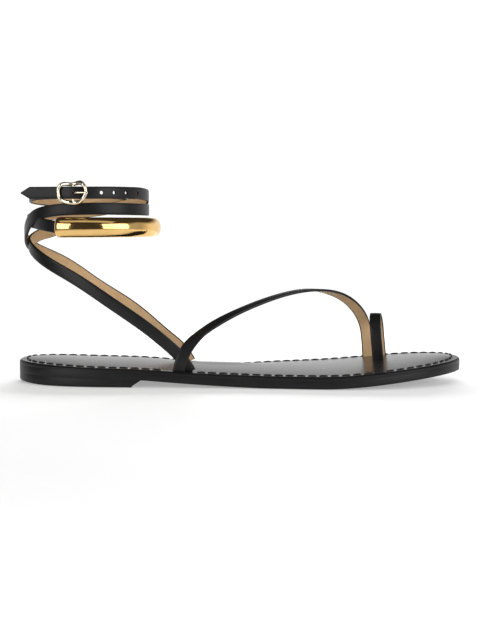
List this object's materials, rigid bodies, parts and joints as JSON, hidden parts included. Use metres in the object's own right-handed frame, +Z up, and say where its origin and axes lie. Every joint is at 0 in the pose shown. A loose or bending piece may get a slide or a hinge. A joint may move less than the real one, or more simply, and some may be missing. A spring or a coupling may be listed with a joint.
{
  "type": "ankle wrap sandal",
  "caption": "Flat black leather sandal with thin straps wound round the ankle, a toe loop, a gold bangle and a small buckle, right shoe.",
  "frame": {"origin": "on the floor under the middle of the shoe's box", "axes": "+X to the toe, +Y to the medial side, +Z up"},
  "size_m": [0.256, 0.0841, 0.1144],
  "materials": {
    "sole_edge": "black stained and burnished leather edge, satin",
    "heel_rubber": "black satin heel lift",
    "insole_leather": "smooth glossy black leather with a thread line near its edge",
    "strap_leather": "black satin leather outside, tan lining inside",
    "bangle_gold": "polished gold plate",
    "buckle_metal": "polished pale gold plate"
  },
  "bodies": {
    "root": {"outsole": "sole_edge", "heel_lift": "heel_rubber", "insole": "insole_leather", "upper": "strap_leather", "toe_loop": "strap_leather", "bangle": "bangle_gold", "buckle_frame": "buckle_metal", "buckle_prong": "buckle_metal"}
  },
  "joints": []
}
